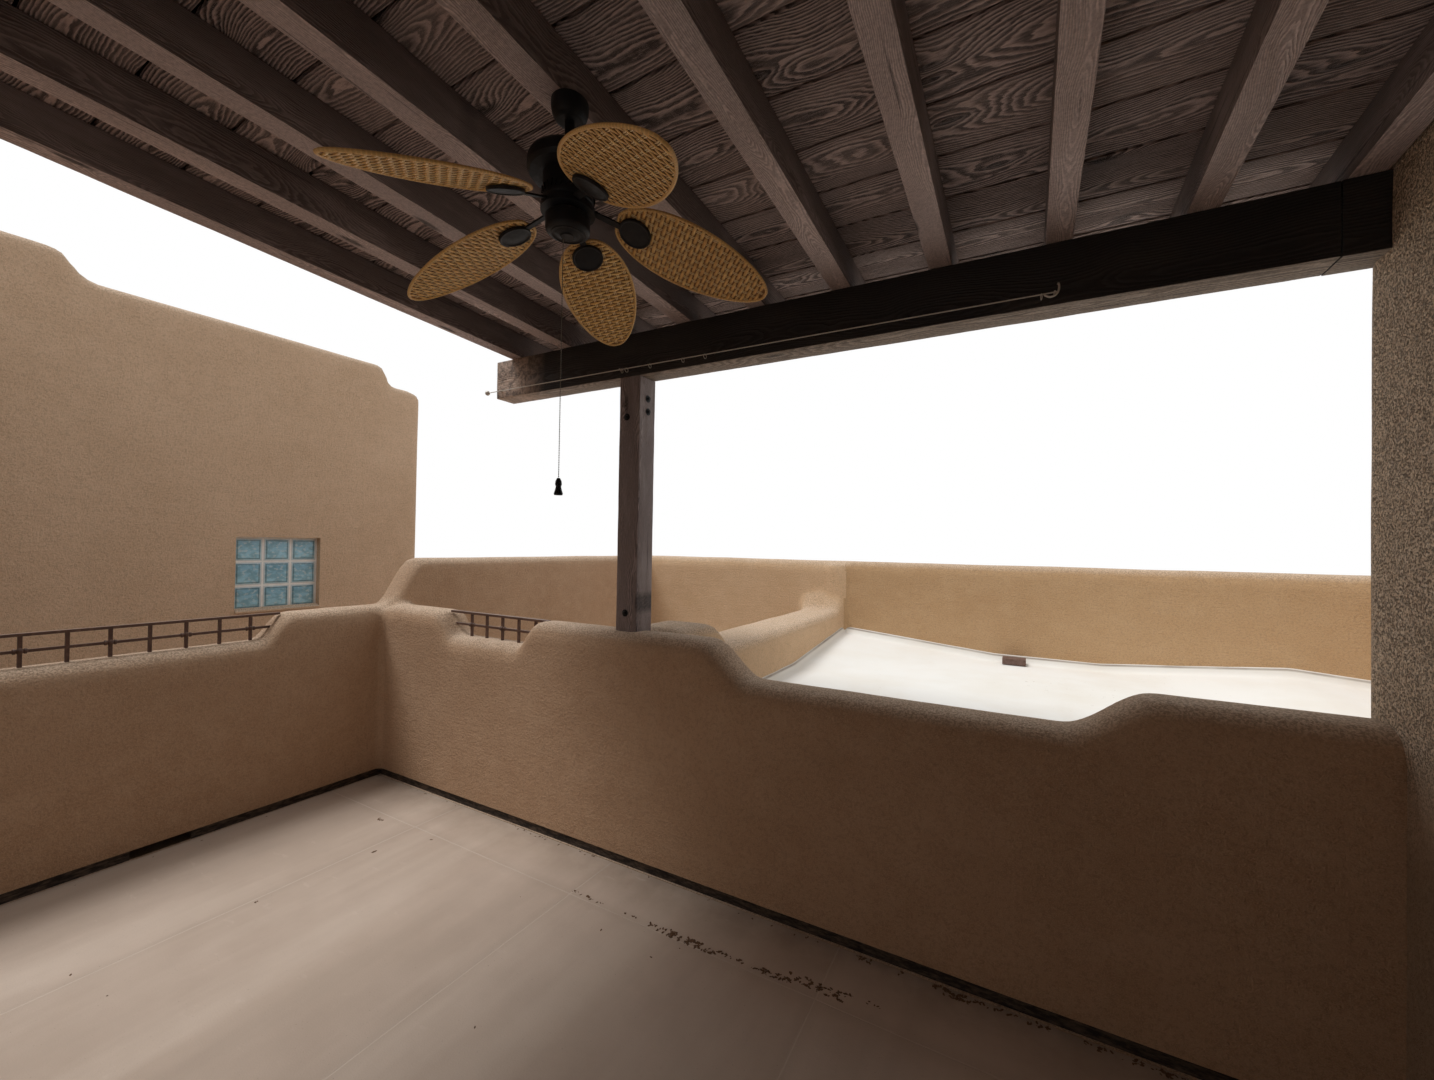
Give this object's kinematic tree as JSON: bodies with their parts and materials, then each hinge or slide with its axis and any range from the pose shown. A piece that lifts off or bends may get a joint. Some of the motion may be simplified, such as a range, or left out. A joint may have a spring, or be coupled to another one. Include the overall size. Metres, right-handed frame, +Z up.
{
  "type": "adobe house roof terrace with timber ramada and ceiling fan",
  "caption": "Covered roof terrace of an adobe house: soft stepped stucco walls, a timber ramada on a post with a palm-leaf ceiling fan, a lower white roof and a taller wing.",
  "frame": {"origin": "on the base plane under the front wall's centre line, below the post's centre", "axes": "+Z up, +X along the front wall to the right as seen from the deck, +Y outward from the terrace"},
  "size_m": [10.73, 7.34, 3.755],
  "materials": {
    "stucco": "sand-finish stucco, tan",
    "stucco_coarse": "coarse shaded stucco",
    "deck": "rolled deck coating, dusty",
    "flashing": "dark metal strip",
    "timber": "dark brown stain",
    "boards": "dark brown stain, raised grain",
    "roofing": "pale roofing sheet",
    "iron": "brown painted iron",
    "fan_black": "matt black",
    "palm_leaf": "woven palm leaf",
    "chain": "dull bead chain",
    "white_roof": "white roof coating, dusty",
    "drain": "rusty brown",
    "mortar": "white mortar",
    "glass_block": "wavy bluish glass"
  },
  "bodies": {
    "house": {"deck_slab": "deck", "base_flashing": "flashing", "left_parapet": "stucco", "front_parapet": "stucco", "right_wall": "stucco_coarse", "rear_wall_left": "stucco", "rear_wall_right": "stucco", "rear_wall_over_door": "stucco", "door_lintel": "timber", "post": "timber", "header_beam": "timber", "roof_ledger": "timber", "rafters": "timber", "ceiling_boards": "boards", "roofing": "roofing", "left_railing": "iron", "front_railing": "iron", "curtain_wire": "iron", "fan_canopy": "fan_black", "fan_motor_housing": "fan_black", "fan_switch_housing": "fan_black", "pull_chain": "chain", "chain_pull": "fan_black", "lower_roof": "white_roof", "roof_drain": "drain", "far_parapet": "stucco", "low_wall": "stucco", "side_parapet": "stucco", "roof_near_wall": "stucco", "wing_front_wall": "stucco", "wing_end_wall": "stucco", "wing_back_wall": "stucco", "wing_rear_wall": "stucco", "wing_roof": "white_roof", "window_mortar": "mortar", "glass_blocks": "glass_block"},
    "fan_rotor": {"fan_blade_carrier": "fan_black", "fan_blade_1": "palm_leaf", "fan_blade_2": "palm_leaf", "fan_blade_3": "palm_leaf", "fan_blade_4": "palm_leaf", "fan_blade_5": "palm_leaf"}
  },
  "joints": [
    {"name": "fan_spin", "type": "hinge", "parent": "house", "child": "fan_rotor", "pos_m": [0.7721, -1.298, 2.7489], "axis": [0, 0, 1], "continuous": true}
  ]
}
